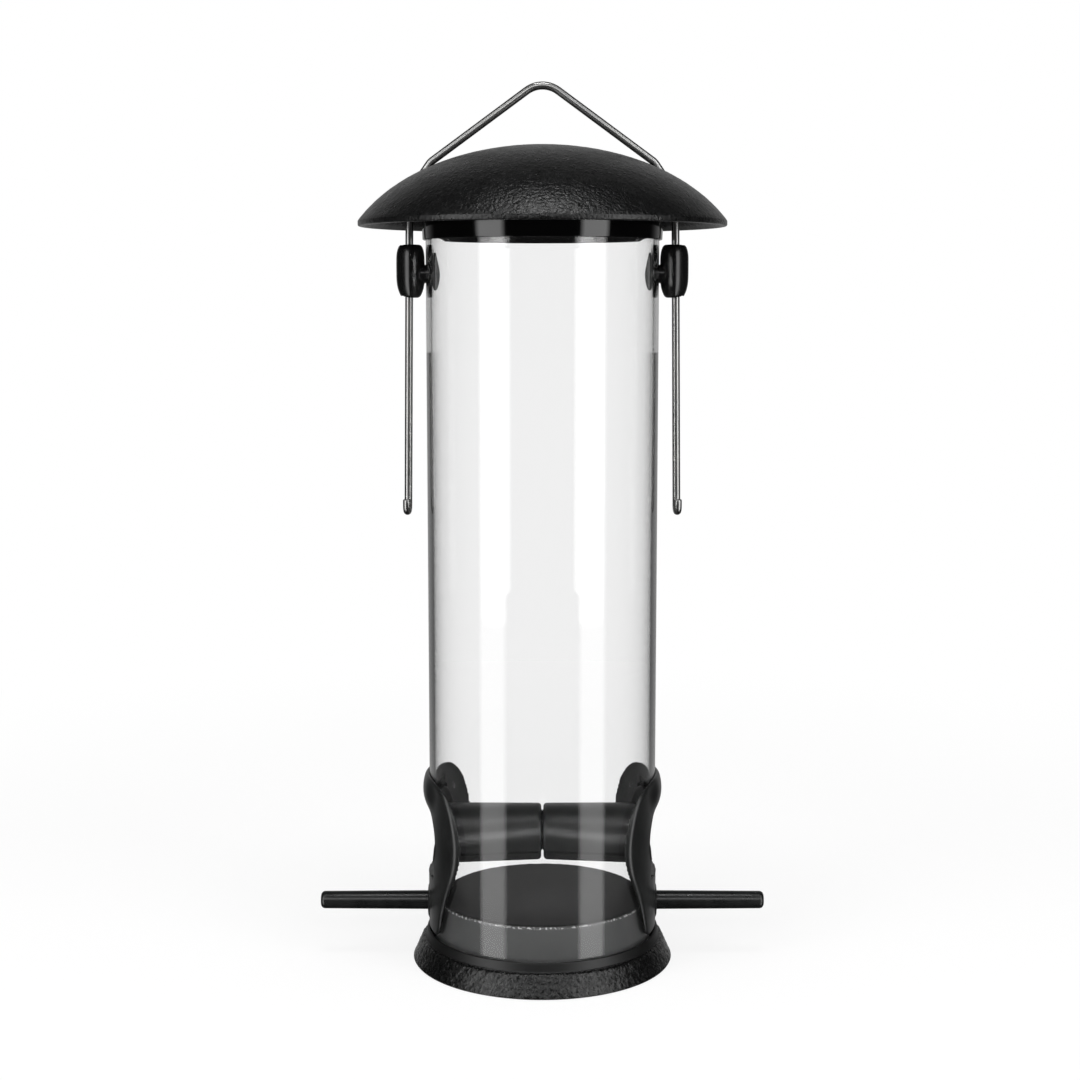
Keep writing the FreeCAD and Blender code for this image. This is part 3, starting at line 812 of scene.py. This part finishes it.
def port_field(x, y, z):
    """A port: the shield on the tube, hood, feed opening, throat, tunnel and perch boss."""
    radius = np.hypot(x, y)
    wide = np.abs(y)
    upper_side = side_line(wide, z, SHIELD_TOP, SHIELD_WIDE)
    lower_side = join(side_line(wide, z, SHIELD_WIDE, SHIELD_KNEE),
                      side_line(wide, z, SHIELD_KNEE, SHIELD_FOOT), 1.5)
    outline = both(upper_side, lower_side, 6.0)
    outline = both(outline, z - PORT_HIGH.z, 9.0)
    outline = both(outline, PORT_LOW.z - z, 3.0)
    face = np.hypot(x - FACE_X + FACE_R, y) - FACE_R
    shield = both(outline, face, 0.8)
    hood = stretch_field(x, y, z, HOOD_AT, HOOD_SIZE)
    shield = join(shield, both(hood, z - PORT_HIGH.z, 0.8), 1.6)
    opening = (np.hypot(y / FEED_HALF, (z - FEED_Z) / FEED_TALL) - 1) * FEED_TALL
    lip = np.hypot(face + 0.45, opening - 0.2) - 0.6
    shield = join(shield, both(lip, z - FEED_Z, 2.0), 0.8)
    boss = both(np.hypot(y, z - PERCH_Z) - BOSS_R, x - BOSS_X, 0.5)
    shield = join(shield, both(boss, 28 - x), 0.6)
    shield = both(shield, TUBE_R + 0.05 - radius)
    throat = oval(y, z - sum(THROAT) / 2, THROAT_HALF - 0.1, (THROAT[1] - THROAT[0]) / 2 - 0.1,
                  THROAT_ROUND)
    throat = both(throat, both(TUBE_IN - 1.0 - radius, face + 0.4))
    body = join(shield, throat, 0.3)
    half = TUNNEL_IN + (TUNNEL_OUT - TUNNEL_IN) * np.clip(x / TUBE_IN, 0, 1.1)
    spring = TUNNEL_TOP - half
    arch = np.where(z > spring, np.hypot(y, z - spring), wide) - half
    ledge = LEDGE * np.clip((TUNNEL_LOW + LEDGE_HEIGHT - z) / 0.25, 0, 1)
    gap = np.where((z > TONGUE[0]) & (z < TONGUE[1]), 0.0, TUNNEL_GAP)
    tunnel = both(arch + ledge, TUNNEL_LOW - z, 0.5)
    tunnel = both(tunnel, gap - x, 1.2)
    tunnel = both(tunnel, radius - TUBE_IN)
    hollow = both(arch + TUNNEL_WALL, TUNNEL_LOW - 5 - z)
    hollow = both(hollow, x - 33.0)
    body = join(body, tunnel, 0.6)
    body = without(body, hollow, 0.3)
    body = without(body, both(opening, TUBE_IN - 0.5 - x), 0.9)
    seat = both(np.hypot(y, z - PERCH_Z) - PERCH_R - 0.1, PERCH_SEAT_X - x)
    shank = np.hypot(y, z - PERCH_Z) - SHANK_R - 0.1
    return without(without(body, seat, 0.2), both(shank, 20 - x))


def side_line(wide, z, top, foot):
    """Distance outside the straight line through two (width, height) points."""
    run = Vector(foot) - Vector(top)
    run.normalize()
    return -run.y * (wide - top[0]) + run.x * (z - top[1])


def make_moulded():
    """The guides, their retainers and the ports, moulded as fields, on both sides."""
    room = Vector((1, 1, 1))
    kinds = [
        ("guide_bead", guide_field, "wire_guide", "guide_black", GUIDE_LOW - room,
         GUIDE_HIGH + room, 0.2),
        ("retainer_pad", pad_field, "guide_retainer", "guide_black", *PAD_ROOM, 0.2),
        ("port_shell", port_field, "feed_port", "satin_black", PORT_LOW - room,
         PORT_HIGH + room, 0.36)]
    for kind, field, node, look, low, high, pitch in kinds:
        verts, faces = surface_of(field, low, high, pitch)
        for side in SIDES:
            make_piece(f"{kind}_{side}", turned_to(verts, side), faces, "feeder",
                       LOOKS[look], [f"{node}_{side}"])


def make_perches():
    """Tapered rods with rounded tips and thinner threaded ends."""
    length = PERCH_HIGH.x - PERCH_LOW.x
    seat = PERCH_SEAT_X - PERCH_LOW.x
    corners = [(0, 0), (SHANK_R, 0), (SHANK_R, seat), (PERCH_R, seat),
               (PERCH_TIP_R, length), (0, length)]
    profile = refined(rounded(corners, [0, 0.4, 0, 0.15, PERCH_ROUND, 0], steps=8), 4.0)
    verts, faces = lathe(profile, 64, closed=False)
    verts = verts[:, [2, 1, 0]] * np.array([1, 1, -1]) + np.array([PERCH_LOW.x, 0, PERCH_Z])
    for side in SIDES:
        make_piece(f"perch_rod_{side}", turned_to(verts, side), faces, "feeder",
                   LOOKS["perch_black"], [f"perch_{side}"], merge=0.005)


make_tube()
make_base()
make_dome()
make_cap()
make_bail()
make_moulded()
make_perches()
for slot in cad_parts["lid_screws"].material_slots:
    slot.material = LOOKS["zinc_screw"]

# ------------------------------------------------------------------ stage, light and camera
# Places and sizes in metres, light levels as radiance.

FLOOR_FADE, FLOOR_PAPER = (0.08, 0.45), 0.2
MIRRORED_GLOW = 0.06
BACKDROP_EDGE = (0.55, 0.95)
BACKDROP_LEVEL, ROOM_LEVEL, FILL_LEVEL = 0.42, 0.012, 0.5
SIDE_BOX, SIDE_AIM = (0.46, -0.39, 0.16), (0, 0, 0.16)
SIDE_WIDTHS, SIDE_HEIGHT, SIDE_LEVEL = (0.24, 0.28, 0.32), 1.5, 1.17
TOP_BOX, TOP_AIM, TOP_SIZE, TOP_LEVEL = (0.0, -0.19, 0.85), (0, -0.19, 0.1), (0.3, 0.12), 13.0
FRONT_BOX, FRONT_AIM, FRONT_SIZE, FRONT_LEVEL = (0.0, -1.1, 0.62), (0, 0, 0.02), (1.0, 0.2), 5.2
CAMERA_AT, CAMERA_DOWN, CAMERA_LENS = (-0.00068, -0.53, 0.19031), 7.372, 62.68


def make_floor():
    """A white floor that fades into the background away from the feeder."""
    bpy.ops.mesh.primitive_circle_add(vertices=96, radius=6.0, fill_type="NGON")
    floor = bpy.context.object
    floor.name = "floor"
    floor.location.z = -0.0002
    material = bpy.data.materials.new("floor_white")
    material.use_nodes = True
    nodes, links = material.node_tree.nodes, material.node_tree.links
    nodes.clear()
    place = nodes.new("ShaderNodeTexCoord")
    reach = nodes.new("ShaderNodeVectorMath")
    reach.operation = "LENGTH"
    links.new(place.outputs["Object"], reach.inputs[0])
    fade = nodes.new("ShaderNodeMapRange")
    fade.interpolation_type = "SMOOTHSTEP"
    fade.inputs["From Min"].default_value = FLOOR_FADE[0]
    fade.inputs["From Max"].default_value = FLOOR_FADE[1]
    fade.inputs["To Min"].default_value = FLOOR_PAPER
    fade.inputs["To Max"].default_value = 0.0
    links.new(reach.outputs["Value"], fade.inputs["Value"])
    paper = nodes.new("ShaderNodeBsdfDiffuse")
    paper.inputs["Color"].default_value = (0.9, 0.9, 0.9, 1)
    glow = nodes.new("ShaderNodeEmission")
    path = nodes.new("ShaderNodeLightPath")
    mirrored = nodes.new("ShaderNodeMath")
    mirrored.operation = "GREATER_THAN"
    mirrored.inputs[1].default_value = 0.5
    links.new(path.outputs["Glossy Depth"], mirrored.inputs[0])
    dimmer = nodes.new("ShaderNodeMath")
    dimmer.operation = "MULTIPLY_ADD"
    dimmer.inputs[1].default_value = MIRRORED_GLOW - 1
    dimmer.inputs[2].default_value = 1.0
    links.new(mirrored.outputs["Value"], dimmer.inputs[0])
    links.new(dimmer.outputs["Value"], glow.inputs["Strength"])
    mix = nodes.new("ShaderNodeMixShader")
    links.new(fade.outputs["Result"], mix.inputs["Fac"])
    links.new(glow.outputs["Emission"], mix.inputs[1])
    links.new(paper.outputs["BSDF"], mix.inputs[2])
    out = nodes.new("ShaderNodeOutputMaterial")
    links.new(mix.outputs["Shader"], out.inputs["Surface"])
    floor.data.materials.append(material)
    floor.visible_glossy = False


def make_world():
    """White to the eye; in reflections a bright backdrop behind and a dark room in front."""
    world = bpy.data.worlds.new("studio")
    world.use_nodes = True
    world.cycles.sampling_method = "NONE"
    bpy.context.scene.world = world
    nodes, links = world.node_tree.nodes, world.node_tree.links
    nodes.clear()
    path = nodes.new("ShaderNodeLightPath")

    def background(strength):
        node = nodes.new("ShaderNodeBackground")
        node.inputs["Color"].default_value = (1, 1, 1, 1)
        node.inputs["Strength"].default_value = strength
        return node.outputs["Background"]

    def after(bounce, yes, no):
        """One shade once a ray has made a bounce of a kind, another before."""
        once = nodes.new("ShaderNodeMath")
        once.operation = "GREATER_THAN"
        once.inputs[1].default_value = 0.5
        links.new(path.outputs[bounce], once.inputs[0])
        mix = nodes.new("ShaderNodeMixShader")
        links.new(once.outputs["Value"], mix.inputs["Fac"])
        links.new(no, mix.inputs[1])
        links.new(yes, mix.inputs[2])
        return mix.outputs["Shader"]

    way = nodes.new("ShaderNodeSeparateXYZ")
    links.new(nodes.new("ShaderNodeTexCoord").outputs["Generated"], way.inputs["Vector"])
    behind = nodes.new("ShaderNodeMapRange")
    behind.interpolation_type = "SMOOTHSTEP"
    behind.inputs["From Min"].default_value = BACKDROP_EDGE[0]
    behind.inputs["From Max"].default_value = BACKDROP_EDGE[1]
    links.new(way.outputs["Y"], behind.inputs["Value"])
    mirrored = nodes.new("ShaderNodeMixShader")
    links.new(behind.outputs["Result"], mirrored.inputs["Fac"])
    links.new(background(ROOM_LEVEL), mirrored.inputs[1])
    links.new(background(BACKDROP_LEVEL), mirrored.inputs[2])
    shade = after("Diffuse Depth", background(FILL_LEVEL), background(1.0))
    shade = after("Glossy Depth", mirrored.outputs["Shader"], shade)
    out = nodes.new("ShaderNodeOutputWorld")
    links.new(shade, out.inputs["Surface"])


def soft_box(name, place, aim, size, radiance):
    """A rectangular area light of even brightness, pointed at a spot."""
    light = bpy.data.lights.new(name, "AREA")
    light.shape = "RECTANGLE"
    light.size, light.size_y = size
    light.energy = radiance * math.pi * size[0] * size[1]
    lamp = linked(name, light)
    direction = Vector(aim) - Vector(place)
    lamp.location = place
    lamp.rotation_euler = direction.to_track_quat("-Z", "Y").to_euler()


def make_lights():
    """Tall boxes at the sides, each three boxes deep so that its edges are soft."""
    for side, sign in (("left", -1), ("right", 1)):
        for width in SIDE_WIDTHS:
            depth = 1 + 0.02 * width
            place = (sign * SIDE_BOX[0] * depth, SIDE_BOX[1] * depth, SIDE_BOX[2])
            soft_box(f"{side}_box", place, SIDE_AIM, (width, SIDE_HEIGHT), SIDE_LEVEL)
    soft_box("top_box", TOP_BOX, TOP_AIM, TOP_SIZE, TOP_LEVEL)
    soft_box("front_box", FRONT_BOX, FRONT_AIM, FRONT_SIZE, FRONT_LEVEL)


def make_camera():
    """The camera, in front of the feeder and above its middle, looking a little down."""
    camera = bpy.data.cameras.new("camera")
    camera.lens = CAMERA_LENS
    camera.sensor_width = 36.0
    eye = linked("camera", camera)
    eye.location = CAMERA_AT
    eye.rotation_euler = (math.radians(90 - CAMERA_DOWN), 0, 0)
    bpy.context.scene.camera = eye


make_floor()
make_world()
make_lights()
make_camera()
bpy.context.scene.view_settings.view_transform = "Standard"
